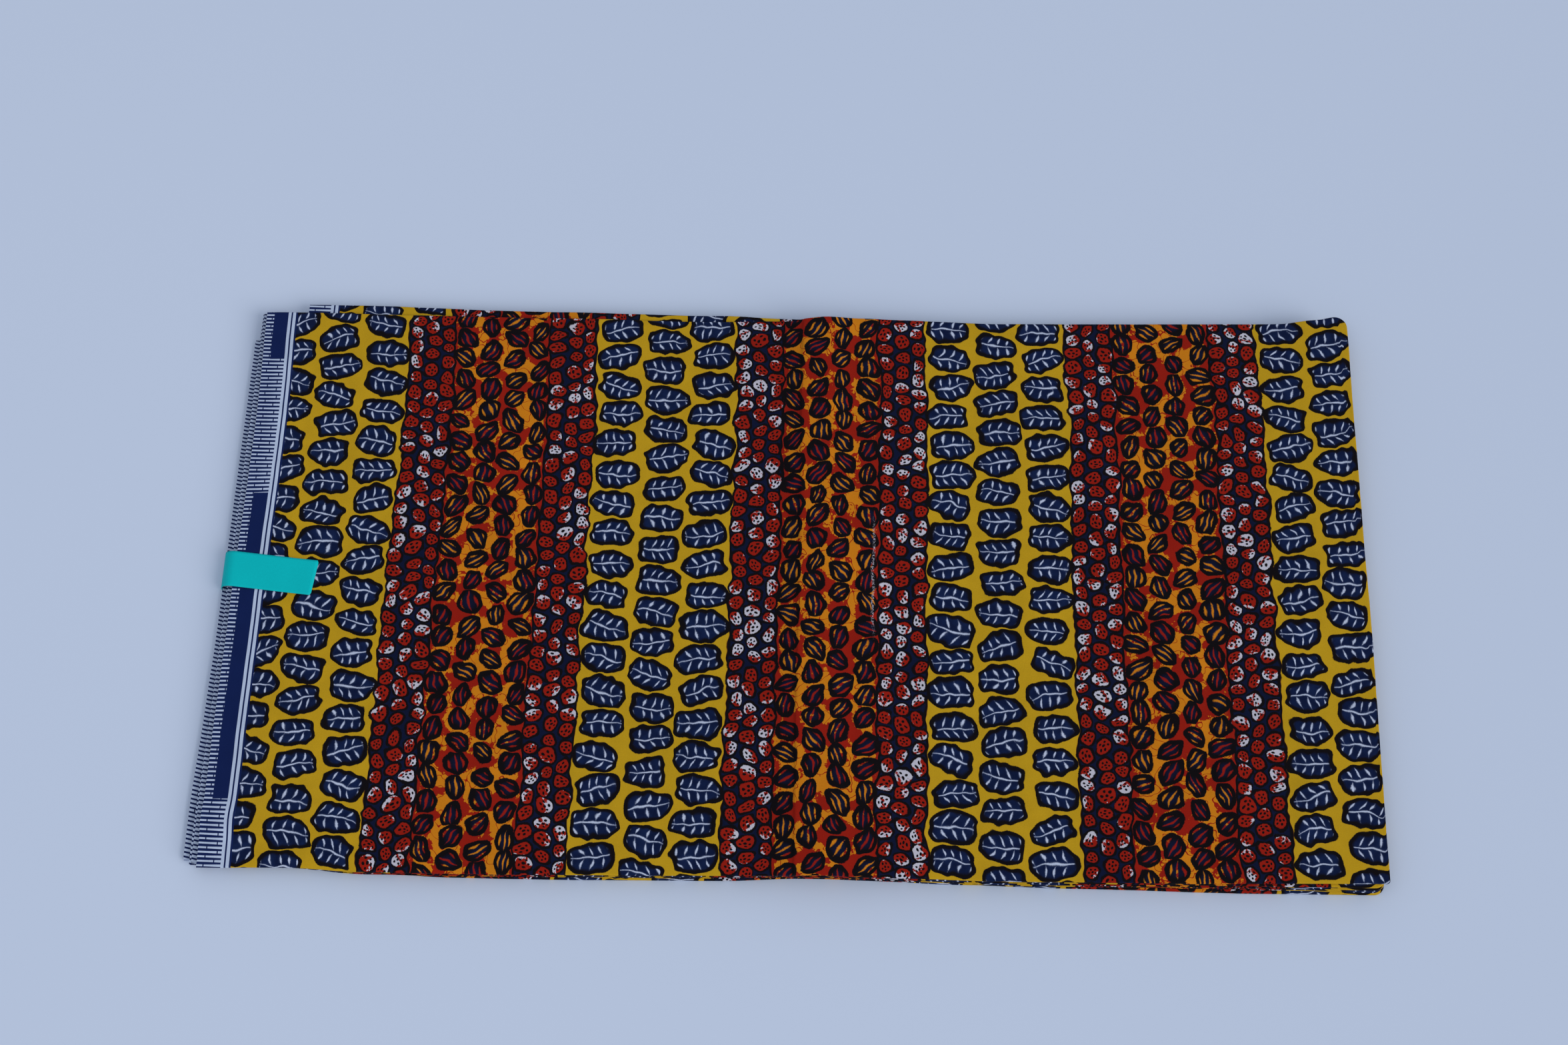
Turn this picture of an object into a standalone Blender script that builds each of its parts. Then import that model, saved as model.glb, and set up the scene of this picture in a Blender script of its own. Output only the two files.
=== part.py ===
"""A length of wax-print cotton cloth, folded into a flat pack and laid down.

The cloth is folded in half, selvedge to selvedge, and then to and fro along
its length.  The half fold lies on the right and the selvedges on the left.
The top leaf, the leaf below it and the wrap round the bottom are walls of
their own.  The layers hidden between them share one rounded solid, layered
at its edges.  A paper label is folded over the selvedges.

Frame: X runs to the right along the pack, Y away from its near edge, Z up.
The origin is on the floor, at the middle of the pack's box.  Sizes are in
metres; the tables are in millimetres.
"""
import math

import bmesh
import bpy
from mathutils import Vector

MM = 0.001

# Driving dimensions
LEAF_WIDTH = 0.585       # half the width of the cloth: fold to selvedge
LEAF_DEPTH = 0.312       # one leaf, from fold to fold
LEFT_THICKNESS = 0.0094  # the pack at its selvedges
RIGHT_THICKNESS = 0.0126  # the pack at its half fold
LEAF_WALL = 0.0012       # a leaf of two plies with its fold
WRAP_WALL = 0.0028       # the wrap of several plies round the bottom
PIECE_GAP = 0.0003       # between one piece and the next

# The crease where the whole pack was once folded in half: steep on its left,
# with a long soft fall on its right.  Columns: x from the crease, rise, in mm.
CREASE_X = 0.0025
CREASE_PROFILE = ((-62, 0), (-7, 1.4), (8, 5.0), (30, 3.4), (56, 2.0), (108, 0))
ARCH_PROFILE = ((-58, 0), (8, 3.0), (74, 0))   # the same for the underside

# Edges and corners
BORDER = 0.003           # the line of points next to an edge
EDGE_LINES = (0.146, 0.136, 0.122)  # closer lines of points near both long edges
CREASE_LINES = (-40, -22, -7, -2, 3, 8, 15, 23, 30, 43, 56, 82)  # in mm
LAST_X_LINE = 0.284
X_SPACING = 0.026
Y_SPACING = 0.036
LINE_CLEARANCE = 0.009
LEAF_ROUNDING = 0.00052
WRAP_ROUNDING = 0.0012
ROUND_SEGMENTS = 2
FAR_CORNER = 0.007       # radius of the corners at the half fold
NEAR_CORNER = 0.004
BEVEL_ANGLE = math.radians(45)
SMOOTH_ANGLE = math.radians(40)

# The paper label
LABEL_WIDTH = 0.0195
LABEL_REACH = 0.0423     # from the selvedge edge onto the top leaf
LABEL_WALL = 0.0004
LABEL_Y = 0.0028         # its middle, where it folds over the edge
LABEL_TURN = math.radians(6.5)
LABEL_CLEAR = 0.0008     # how far its lower end stays above the floor
LABEL_STEPS = 6
LABEL_BEND_STEPS = 4

HALF_WIDTH = LEAF_WIDTH / 2
HALF_DEPTH = LEAF_DEPTH / 2

# Soft swells of the top surface, in mm.
# Columns: x, y, half width, half length, height.
SWELLS = (
    (-57, 45, 24, 130, 0.7),      # soft ridge left of the crease
    (118, 0, 28, 240, 0.9),       # soft ridge right of the crease
    (285, 148, 45, 45, 2.2),      # the far corner puffs up at the half fold
    (-250, -156, 75, 26, -1.4),   # the near selvedge corner droops
)

# Edges of each piece, in mm from the middle of the top leaf.
# "left" and "right" have the columns y, x; "near" and "far" have x, y.
TOP_LEAF = {
    "left": ((-156, -292.7), (0, -291.4), (156, -292.3)),
    "right": ((-156, 293.4), (0, 296.0), (150, 297.4)),
    "near": ((-292, -155.5), (-240, -155.4), (-190, -156.2), (0, -156.4),
             (292, -156.4)),
    "far": ((-292, 156), (-127, 153.4), (-40, 151.8), (0, 151.8), (14, 153),
            (113, 152), (262, 153), (281, 155), (292, 157)),
}
REAR_LEAF = {
    "left": ((-156, -275), (156, -269.5)),
    "right": ((-156, 291), (0, 294), (150, 294)),
    "near": ((-275, -154.6), (150, -156.6), (285, -157.6)),
    "far": ((-270, 161.7), (-127, 158.2), (-41, 156.2), (-6, 154.2), (20, 152.4),
            (113, 151.2), (292, 151.6)),
}
INNER_LAYERS = {
    "left": ((-156, -296.2), (0, -295.2), (156, -294.6)),
    "right": ((-156, 292.2), (0, 294.4), (150, 294.4)),
    "near": ((-292, -153.6), (-240, -153.8), (0, -155.2), (292, -155.8)),
    "far": ((-292, 153.6), (-127, 151.6), (0, 151.2), (292, 151.4)),
}
BOTTOM_WRAP = {
    "left": ((-156, -300.6), (0, -299.6), (140, -298.6)),
    "right": ((-156, 292.6), (0, 295.6), (150, 293.4)),
    "near": ((-300, -150.8), (-255, -150.4), (-226, -153.2), (-200, -156.2),
             (-167, -157.6), (-126, -157.8), (-33, -157.4), (9, -156.2), (48, -156.4),
             (85, -157.4), (140, -158.4), (228, -159.4), (285, -159.4)),
    "far": ((-298, 140), (-200, 143), (0, 147), (292, 149)),
}

# Edges of the hidden layers from the bottom up, in mm outward.
# Columns: left, right, near, far.
LAYER_EDGES = (
    (0.9, 0.2, 1.2, -1.6),
    (-0.6, -0.8, 0.1, 0.6),
    (0.6, 0.4, 0.9, -0.7),
    (-1.2, -0.5, -0.4, 0.9),
)
LAYER_GROOVE = 0.9       # depth of the groove between two layers, in mm
LAYER_SHOULDER = 0.24    # height of a layer's rounding, as a part of the layer

# Colours, roughness and metallic value of each piece, linear
FINISHES = {
    "top_leaf": ((0.347, 0.223, 0.009), 0.85, 0.0),
    "rear_leaf": ((0.006, 0.010, 0.042), 0.85, 0.0),
    "inner_layers": ((0.352, 0.342, 0.407), 0.85, 0.0),
    "bottom_wrap": ((0.188, 0.009, 0.005), 0.85, 0.0),
    "edge_label": ((0.004, 0.386, 0.423), 0.55, 0.0),
}


def clear_scene():
    """Removes every object of the open scene."""
    for thing in list(bpy.data.objects):
        bpy.data.objects.remove(thing, do_unlink=True)


def ease(share):
    """Turns a share from 0 to 1 into one that starts and ends level."""
    share = min(1.0, max(0.0, share))
    return share * share * (3 - 2 * share)


def along(table, place):
    """Reads a table of (place, value) rows in mm smoothly, in metres."""
    place_mm = place / MM
    if place_mm <= table[0][0]:
        return table[0][1] * MM
    for (start, low), (end, high) in zip(table, table[1:]):
        if place_mm <= end:
            share = ease((place_mm - start) / (end - start))
            return (low + (high - low) * share) * MM
    return table[-1][1] * MM


def swell(x, y):
    """Height that the soft swells add at a point."""
    height = 0.0
    for mid_x, mid_y, half_width, half_length, rise in SWELLS:
        across = ease(1 - abs(x / MM - mid_x) / half_width)
        lengthwise = ease(1 - abs(y / MM - mid_y) / half_length)
        height += rise * MM * across * lengthwise
    return height


def crease(x):
    """Height that the centre crease adds to the top surface."""
    return along(CREASE_PROFILE, x - CREASE_X)


def underside(x, y):
    """Height of the pack's underside: flat, but for the arch at the crease."""
    return along(ARCH_PROFILE, x - CREASE_X)


def top_side(x, y):
    """Height of the pack's top surface."""
    share = (x + HALF_WIDTH) / LEAF_WIDTH
    base = LEFT_THICKNESS + (RIGHT_THICKNESS - LEFT_THICKNESS) * share
    return base + crease(x) + swell(x, y)


def below_top_leaf(x, y):
    """Height of the top of the leaf below the top leaf."""
    return top_side(x, y) - LEAF_WALL - PIECE_GAP


def inner_top(x, y):
    """Height of the top of the hidden layers."""
    return below_top_leaf(x, y) - LEAF_WALL - PIECE_GAP


def inner_bottom(x, y):
    """Height of the underside of the hidden layers."""
    return underside(x, y) + WRAP_WALL + PIECE_GAP


def grid_lines(firm, end, step):
    """Places from -end to end: the firm ones, and a regular spacing between."""
    lines = list(firm)
    count = round(2 * end / step)
    for index in range(count + 1):
        place = -end + 2 * end * index / count
        if all(abs(place - line) >= LINE_CLEARANCE for line in lines):
            lines.append(place)
    return sorted(lines)


def shared_lines():
    """Lines of points that every piece shares, so that no two cross."""
    firm = [CREASE_X + offset * MM for offset in CREASE_LINES]
    for mid_x, _, half_width, _, _ in SWELLS[:2]:
        firm += [(mid_x + half_width * share) * MM for share in (-0.5, 0, 0.5)]
    x_lines = grid_lines(firm, LAST_X_LINE, X_SPACING)
    edge_lines = [place * side for place in EDGE_LINES for side in (-1, 1)]
    y_lines = grid_lines(edge_lines, EDGE_LINES[0], Y_SPACING)
    return x_lines, y_lines


def lines_inside(lines, starts, ends):
    """The shared lines that lie clear inside a piece's borders."""
    low = max(value for _, value in starts) * MM + 2 * BORDER
    high = min(value for _, value in ends) * MM - 2 * BORDER
    return [line for line in lines if low < line < high]


def rounded_corner(x, y, right, near, far):
    """Moves a point outside a rounded corner of the half fold onto its arc."""
    for radius, edge, away in ((FAR_CORNER, far, 1), (NEAR_CORNER, near, -1)):
        centre = Vector((right - radius, edge - away * radius))
        arm = Vector((x, y)) - centre
        outside = arm.x > 0 and arm.y * away > 0 and arm.length > radius
        if outside:
            return tuple(centre + arm.normalized() * radius)
    return x, y


def plan_points(edges, lines):
    """Rows of (x, y) points of a piece, from its near edge to its far edge."""
    x_lines = lines_inside(lines[0], edges["left"], edges["right"])
    y_lines = lines_inside(lines[1], edges["near"], edges["far"])
    rows = []
    row_count = len(y_lines) + 4
    for row_index in range(row_count):
        row = []
        for column_index in range(len(x_lines) + 4):
            guess_y = -HALF_DEPTH + LEAF_DEPTH * row_index / (row_count - 1)
            if 2 <= row_index < row_count - 2:
                guess_y = y_lines[row_index - 2]
            left = along(edges["left"], guess_y)
            right = along(edges["right"], guess_y)
            places = [left, left + BORDER, *x_lines, right - BORDER, right]
            x = places[column_index]
            near = along(edges["near"], x)
            far = along(edges["far"], x)
            y = [near, near + BORDER, *y_lines, far - BORDER, far][row_index]
            row.append(rounded_corner(x, y, right, near, far))
        rows.append(row)
    return rows


def new_object(name, mesh, parent):
    """Makes an object of a mesh, with its own material, under the parent."""
    colour, roughness, metallic = FINISHES[name]
    material = bpy.data.materials.new(name + "_finish")
    material.use_nodes = True
    shader = material.node_tree.nodes["Principled BSDF"]
    shader.inputs["Base Color"].default_value = (*colour, 1)
    shader.inputs["Roughness"].default_value = roughness
    shader.inputs["Metallic"].default_value = metallic
    mesh.materials.append(material)
    part = bpy.data.objects.new(name, mesh)
    part.parent = parent
    return part


def grid_mesh(name, points):
    """Makes an open sheet from rows of points, with its faces up."""
    last_row = len(points) - 1
    last_column = len(points[0]) - 1
    sheet = bmesh.new()
    bmesh.ops.create_grid(sheet, x_segments=last_column, y_segments=last_row, size=1)
    for vertex in sheet.verts:
        column = round((vertex.co.x + 1) / 2 * last_column)
        row = round((vertex.co.y + 1) / 2 * last_row)
        vertex.co = points[row][column]
    mesh = bpy.data.meshes.new(name)
    sheet.to_mesh(mesh)
    sheet.free()
    return mesh


def wall(part, thickness, side, rounding):
    """Thickens a sheet to one side and rounds its edges."""
    solid = part.modifiers.new("Thickness", "SOLIDIFY")
    solid.thickness = thickness
    solid.offset = side
    if rounding:
        bevel = part.modifiers.new("Rounding", "BEVEL")
        bevel.width = rounding
        bevel.segments = ROUND_SEGMENTS
        bevel.limit_method = "ANGLE"
        bevel.angle_limit = BEVEL_ANGLE
    part.data.shade_smooth()
    part.data.set_sharp_from_angle(angle=SMOOTH_ANGLE)


def make_leaf(name, edges, lines, height, thickness, side, rounding, parent):
    """Makes one leaf: a sheet on its height function, thickened."""
    points = [[(x, y, height(x, y)) for x, y in row] for row in plan_points(edges, lines)]
    part = new_object(name, grid_mesh(name, points), parent)
    wall(part, thickness, side, rounding)
    return part


def border_loop(points):
    """Goes once round the border of rows of points, anticlockwise.

    Gives (row, column, outward x, outward y) for each point.
    """
    last_row = len(points) - 1
    last_column = len(points[0]) - 1
    loop = [(0, column) for column in range(last_column)]
    loop += [(row, last_column) for row in range(last_row)]
    loop += [(last_row, last_column - column) for column in range(last_column)]
    loop += [(last_row - row, 0) for row in range(last_row)]
    result = []
    for row, column in loop:
        outward_x = (column == last_column) - (column == 0)
        outward_y = (row == last_row) - (row == 0)
        result.append((row, column, outward_x, outward_y))
    return result


def layer_rings():
    """Rings of the layered edge from the bottom up: height share and offsets."""
    rings = []
    count = len(LAYER_EDGES)
    for index, edges in enumerate(LAYER_EDGES):
        start = index / count
        grooved = [edge - LAYER_GROOVE for edge in edges]
        rings.append((start, grooved))
        rings.append((start + LAYER_SHOULDER / count, edges))
        rings.append((start + (1 - LAYER_SHOULDER) / count, edges))
    rings.append((1.0, [edge - LAYER_GROOVE for edge in LAYER_EDGES[-1]]))
    return rings


def make_inner_layers(lines, parent):
    """Makes the hidden layers: one solid, lofted through its layered edge."""
    name = "inner_layers"
    points = plan_points(INNER_LAYERS, lines)
    loop = border_loop(points)
    block = bmesh.new()

    def place(x, y, share):
        low = inner_bottom(x, y)
        return Vector((x, y, low + (inner_top(x, y) - low) * share))

    def edge_point(row, column, outward_x, outward_y, share, edges):
        left, right, near, far = edges
        x, y = points[row][column]
        x += MM * (max(outward_x, 0) * right - max(-outward_x, 0) * left)
        y += MM * (max(outward_y, 0) * far - max(-outward_y, 0) * near)
        return place(x, y, share)

    rings = []
    for share, edges in layer_rings():
        rings.append([block.verts.new(edge_point(*stop, share, edges)) for stop in loop])
    for low_ring, high_ring in zip(rings, rings[1:]):
        for index in range(len(loop)):
            after = (index + 1) % len(loop)
            block.faces.new((low_ring[index], low_ring[after],
                             high_ring[after], high_ring[index]))
    for ring, share in ((rings[0], 0.0), (rings[-1], 1.0)):
        cap = {(row, column): vertex for (row, column, _, _), vertex in zip(loop, ring)}
        for row in range(1, len(points) - 1):
            for column in range(1, len(points[0]) - 1):
                cap[row, column] = block.verts.new(place(*points[row][column], share))
        for row in range(len(points) - 1):
            for column in range(len(points[0]) - 1):
                block.faces.new((cap[row, column], cap[row, column + 1],
                                 cap[row + 1, column + 1], cap[row + 1, column]))
    bmesh.ops.recalc_face_normals(block, faces=block.faces)
    mesh = bpy.data.meshes.new(name)
    block.to_mesh(mesh)
    block.free()
    mesh.shade_smooth()
    mesh.set_sharp_from_angle(angle=SMOOTH_ANGLE)
    return new_object(name, mesh, parent)


def label_route(y, reach):
    """Points (x, z) of the label's inner face, from its end on the leaf down."""
    edge_x = along(TOP_LEAF["left"], y)
    low_x = along(BOTTOM_WRAP["left"], y) - PIECE_GAP
    shoulder_z = top_side(edge_x, y) + PIECE_GAP
    wrap_z = WRAP_WALL + PIECE_GAP
    route = []
    for index in range(LABEL_STEPS):
        x = edge_x + reach * (1 - index / LABEL_STEPS)
        route.append((x, top_side(x, y) + PIECE_GAP))
    for index in range(LABEL_BEND_STEPS + 1):
        angle = math.pi / 2 * index / LABEL_BEND_STEPS
        route.append((edge_x + (low_x - edge_x) * math.sin(angle),
                      wrap_z + (shoulder_z - wrap_z) * math.cos(angle)))
    route.append((low_x, LABEL_CLEAR))
    return route


def make_label(parent):
    """Makes the paper label, laid on the top leaf and over the selvedges."""
    name = "edge_label"
    points = []
    for side in (-0.5, 0.0, 0.5):
        offset = side * LABEL_WIDTH
        fold_y = LABEL_Y + offset / math.cos(LABEL_TURN)
        route = label_route(fold_y, LABEL_REACH + offset * math.sin(LABEL_TURN))
        fold_x = along(TOP_LEAF["left"], fold_y)
        row = [(x, fold_y - (x - fold_x) * math.tan(LABEL_TURN), z) for x, z in route]
        points.append(row[::-1])
    part = new_object(name, grid_mesh(name, points), parent)
    wall(part, LABEL_WALL, 1, 0)
    return part


def centre_on_floor(parts, frame):
    """Moves the pack so that the origin is at the middle of its box's floor."""
    bpy.context.view_layer.update()
    graph = bpy.context.evaluated_depsgraph_get()
    corners = []
    for part in parts:
        seen = part.evaluated_get(graph)
        corners += [seen.matrix_world @ Vector(corner) for corner in seen.bound_box]
    for axis in (0, 1):
        places = [corner[axis] for corner in corners]
        frame.location[axis] = -(min(places) + max(places)) / 2
    bpy.context.view_layer.update()


def main():
    """Builds the folded pack."""
    clear_scene()
    collection = bpy.data.collections.new("ankara_fabric")
    bpy.context.scene.collection.children.link(collection)
    frame = bpy.data.objects.new("pack_frame", None)
    lines = shared_lines()
    parts = [
        make_leaf("top_leaf", TOP_LEAF, lines, top_side, LEAF_WALL, -1,
                  LEAF_ROUNDING, frame),
        make_leaf("rear_leaf", REAR_LEAF, lines, below_top_leaf, LEAF_WALL, -1,
                  LEAF_ROUNDING, frame),
        make_inner_layers(lines, frame),
        make_leaf("bottom_wrap", BOTTOM_WRAP, lines, underside, WRAP_WALL, 1,
                  WRAP_ROUNDING, frame),
        make_label(frame),
    ]
    collection.objects.link(frame)
    for part in parts:
        collection.objects.link(part)
    centre_on_floor(parts, frame)


main()
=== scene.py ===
"""The looks of a length of wax-print cotton cloth, folded into a flat pack.

Every leaf of the cloth is a thin shell of two plies: folded on the right, at the
near and far edges, and open at its selvedges on the left.  The fine relief of the
top leaf is placed one by one.  The print, the selvedges and the weave are worked out
by shader nodes from each point's place on the flat cloth.

Lengths are in metres, the tables and the print are in millimetres.
"""
import math

import bpy
import numpy as np
from mathutils import Euler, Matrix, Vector


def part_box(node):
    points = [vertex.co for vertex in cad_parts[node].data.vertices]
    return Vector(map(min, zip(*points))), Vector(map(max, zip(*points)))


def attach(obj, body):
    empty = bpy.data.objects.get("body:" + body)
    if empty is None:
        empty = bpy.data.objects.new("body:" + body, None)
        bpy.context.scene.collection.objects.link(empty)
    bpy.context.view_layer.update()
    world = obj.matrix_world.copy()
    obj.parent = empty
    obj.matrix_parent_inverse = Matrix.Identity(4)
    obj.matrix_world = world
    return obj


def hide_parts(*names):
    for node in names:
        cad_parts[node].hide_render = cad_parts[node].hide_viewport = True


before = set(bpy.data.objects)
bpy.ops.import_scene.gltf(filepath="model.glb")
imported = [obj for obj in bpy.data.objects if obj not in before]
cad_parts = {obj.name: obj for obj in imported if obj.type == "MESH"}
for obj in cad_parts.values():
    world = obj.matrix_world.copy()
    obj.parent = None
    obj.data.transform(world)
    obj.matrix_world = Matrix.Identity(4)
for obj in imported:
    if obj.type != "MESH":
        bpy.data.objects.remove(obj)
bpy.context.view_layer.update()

MM = 0.001

# Driving sizes of the pack, as in the solids
LEAF_WIDTH = 0.585
LEAF_DEPTH = 0.312
LEFT_THICKNESS = 0.0094
RIGHT_THICKNESS = 0.0126
LEAF_WALL = 0.0012
WRAP_WALL = 0.0028
PIECE_GAP = 0.0003
CREASE_X = 0.0025
PLY = 0.00022            # thickness of one ply of the cloth
HALF_WIDTH = LEAF_WIDTH / 2
HALF_DEPTH = LEAF_DEPTH / 2

# The lowest corner of the top leaf's solid, from the middle of that leaf and in the frame
TOP_LEAF_LOW = (-0.2927, -0.1564)
LOW_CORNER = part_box("top_leaf")[0]
PACK_MOVE = (LOW_CORNER.x - TOP_LEAF_LOW[0], LOW_CORNER.y - TOP_LEAF_LOW[1])

# Rise of the top at the centre crease, and of the arch under it.
# Columns: mm from the crease, mm of rise.
CREASE_PROFILE = ((-62, 0), (-14, 1.2), (-3, 1.3), (4.5, 4.3), (13, 5.2), (31, 3.4), (56, 2.1),
                  (108, 0))
ARCH_PROFILE = ((-58, 0), (8, 3.0), (74, 0))

# Soft swells.  Columns, in mm: x, y, half width, half length, height.
SWELLS = (
    (-57, 45, 24, 130, 0.7),
    (118, 0, 28, 240, 0.9),
    (285, 148, 45, 45, 2.2),
    (-250, -156, 75, 26, -1.4),
)

# Edges of the four stretches, in mm from the middle of the top leaf
TOP_LEAF = {
    "left": ((-156, -292.0), (-144, -292.2), (-131, -292.9), (-120, -292.2), (-77, -292.2),
             (-24, -292.0), (90, -290.7), (156, -292.2)),
    "right": ((-156, 293.4), (0, 296.0), (150, 297.4)),
    "near": ((-292, -156.2), (-246, -155.6), (-212, -157.4), (-177, -157.8), (-10, -157.2),
             (120, -157.9), (185, -157.6), (285, -156.5)),
    "far": ((-292, 156), (-127, 153.4), (-40, 151.8), (0, 151.8), (14, 153), (113, 152),
            (262, 153), (281, 155), (292, 157)),
}
REAR_LEAF = {
    "left": ((-156, -275), (156, -269.5)),
    "right": ((-156, 291), (0, 294), (150, 294)),
    "near": ((-275, -154.8), (-248, -155.2), (-218, -157.1), (-180, -157.5), (0, -156.6),
             (150, -157.9), (290, -158.2)),
    "far": ((-270, 161.7), (-127, 158.2), (-41, 156.2), (-6, 154.2), (20, 152.4),
            (113, 151.2), (292, 151.6)),
}
INNER_LAYERS = {
    "left": ((-156, -296.2), (0, -295.2), (156, -294.6)),
    "right": ((-156, 292.2), (0, 294.4), (150, 294.4)),
    "near": ((-292, -153.6), (-248, -154.0), (-214, -156.4), (-170, -157.2), (0, -156.0),
             (120, -157.4), (292, -158.2)),
    "far": ((-292, 156.4), (-262, 153.2), (-127, 151.6), (0, 151.2), (292, 151.4)),
}
BOTTOM_WRAP = {
    "left": ((-156, -300.6), (-125, -300.7), (-77, -299.5), (-24, -298.7), (140, -298.4)),
    "right": ((-156, 292.6), (0, 295.6), (150, 293.4)),
    "near": ((-300, -150.8), (-255, -150.4), (-226, -153.2), (-200, -156.2), (-167, -157.6),
             (-126, -157.8), (-33, -157.4), (9, -156.2), (48, -156.4), (85, -157.4),
             (140, -158.4), (228, -159.4), (285, -159.4)),
    "far": ((-298, 142), (-200, 144), (0, 147), (292, 149)),
}
FAR_CORNER = 0.0065      # radius of the corners at the half fold
NEAR_CORNER = 0.0055     # the top leaf's is smaller
TOP_NEAR_CORNER = 0.0018

# Lines of points across the pack, in mm from the crease and from the half fold
CREASE_LINES = (-56, -48, -40, -31, -22, -14, -9, -5.5, -3.2, -1.7, -0.9, -0.4, 0, 0.4, 0.9,
                1.7, 3.2, 5.5, 8, 11, 14, 18, 23, 30, 36, 43, 50, 56, 64, 73, 82, 91)
CORNER_LINES = (13.5, 11, 8.8, 6.8, 5.2, 3.9, 2.8, 1.9, 1.2)

# The other lines and rows of points
LAST_X_LINE = 0.282
COARSE_X = 0.006
COARSE_ROWS = 24
FINE_STEP = 0.0034
FINE_ROWS = 92
LINE_CLEARANCE = 0.0035
ROUNDING_LINES = 4
SMALLEST_STEP = 0.0003
BORDER = 0.003
MOUTH_LENGTH = 0.02
THICKNESS_SPOTS = (-0.2, 0.2)    # x where a leaf's thickness is read
SHARP_ANGLE = math.radians(50)

# What each point carries: its place on the flat cloth and a map for baking.  The
# map's lowest part holds the outer faces, and the rooms above it, as low and high
# shares of its height, hold the cut edges and the inner faces.
CLOTH_PLACE = "cloth_place"
BAKE_MAP = "OFBake"
TOP_LEAF_ROOMS = ((0.0, 0.33, 1.0, 0.86), (0.0, 0.0, 1.0, 0.32))
ROOM_GAP = 0.002
RIM_ROOM = (0.862, 0.878)
RIM_ROWS = (0.2, 0.8)    # the two sides of a cut edge, in its leaf's row there
RIM_MARGIN = 0.008
INNER_ROOM = (0.88, 1.0)
FACE_CORNERS = 4

# The print's bands, in mm from a selvedge
FIRST_BAND = 42.5        # middle of the first yellow band
BAND_PITCH = 178.5
YELLOW_HALF = 37.5
ORANGE_START = 63.5
EDGE_SOFT = 0.2
STROKE_SOFT = 0.3

# Noise in the print and the cloth.  Columns: mm of its bumps, detail, roughness.
ROUGH_NOISE = (0.9, 1.0)
RAGGED_NOISE = (2.4, 3.0, 0.62)
BLOTCH_NOISE = (13.0, 1.0)
RED_LINE_NOISE = (8.0, 1.0)
MOTTLE_NOISE = (7.0, 2.0)
WHITER_NOISE = (28.0, 1.0)
LEAN_NOISE = (55.0, 1.0)
WORN_WANDER_NOISE = (22.0, 1.0)
WORN_GRAIN_NOISE = (0.8, 2.0, 0.7)
GLOSS_NOISE = (6.0, 1.0)
SLUB_NOISE = (4.5, 2.0)

# How the drawn lines wander.  Columns, in mm: size of the waves, reach.
WANDERS = ((15.0, 4.0), (5.0, 1.6))

# How far the ragged noise moves each edge, in the edge's own units
RAGGED_BLOTCH = 0.3
RAGGED_LINE = 0.02
RAGGED_FRINGE = 9.0
RAGGED_CUT = 8.0
RAGGED_STREAK = 4.0

# Red in the orange grounds: blotches, thin lines and a fringe at their edges
BLOTCH_RAMP = (0.5, 0.515)
RED_LINE = (0.013, 0.004)
RED_FRINGE = 1.6

# The motifs' repeats in a band.  Columns: mm across, mm along, mm of room that a motif
# strays in, columns on each side of the band's middle, and the middle's shift in columns.
LEAF_REPEAT = (25.0, 17.4, 1.1, 1, 0)
BERRY_REPEAT = (8.5, 8.7, 1.3, 1, 0)
SEED_REPEAT = (13.4, 12.4, 1.6, 1.5, 0.5)

# Random sizes of berries and seeds, as shares, and what sets random draws apart
SMALLEST = 0.92
SIZE_RANGE = 0.14
MORE_SEED = 0.37
SEEDS_SEED = 30.0
TICK_SEEDS = (5.0, 9.0)

# Leaves on the yellow bands, in mm
LEAF_HALF_LENGTH = 11.6
LEAF_HALF_WIDTH = 8.0
LEAF_SIZES = 1.0         # range of their random sizes
LEAF_SWING = math.radians(34)
LEAF_SQUARENESS = 2.6
LEAF_POINT = 1.3         # how far its tip stands out
LEAF_POINT_POWER = 10.0
LEAF_NOTCH = 1.4         # how deep it is notched at its stalk
LEAF_NOTCH_POWER = 16.0
LEAF_LOBES = 7.0
LEAF_LOBE_START = 6.3
LEAF_LOBE_DEPTH = 0.3
LEAF_ROUGHNESS = 0.3
LEAF_CORE = (1.4625, 3.315)    # from its rim, where the navy starts and is full
MOTTLE_RAMP = (0.35, 0.75)
VEIN_SLOPE = 0.42
VEIN_COSINE = 0.92
VEIN_PITCH = 4.9
VEIN_STRAY = 2.0
VEIN_START = 1.0         # from the midrib
VEIN_END = 5.6
VEIN_HALF_WIDTH = 0.62
VEIN_THINNER = 0.14
VEIN_ROUGHNESS = 0.4
VEIN_ROOM = (2.0, 2.7)   # from the rim, where the veins end
RIB_HALF_WIDTH = 0.42
RIB_MIDDLE = -1.0
RIB_TAPER = 0.03
RIB_ROUGHNESS = 0.25
GLOW = (0.25, 0.55)      # reach of the paler navy beside the veins, and its softness
GLOW_STRENGTH = 0.5

# Berries on the dark bands, in mm
BERRY_RADIUS = 3.55
BERRY_SQUEEZE = 0.22
BERRY_ROUGHNESS = 0.6
BERRY_SURROUND = (-1.5, -1.1)
GAP_ROOM = (0.8, 1.6)    # from the band's edge, where the ground turns navy
GAP_STRENGTH = 0.7
RED_SHARE = 0.72
RED_SPREAD = 7.0
RED_SOFT = 0.16
WHITER_SHARE = 0.52
WHITER_SPREAD = 12.0
STREAK_HALF_WIDTH = 0.5
STREAK_SPREAD = 5.0
DOT_COUNT = 5
DOT_RING = 2.0
DOT_RADIUS = 0.62
DOT_SOFT = 0.14
CORE_RADIUS = 0.7

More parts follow.
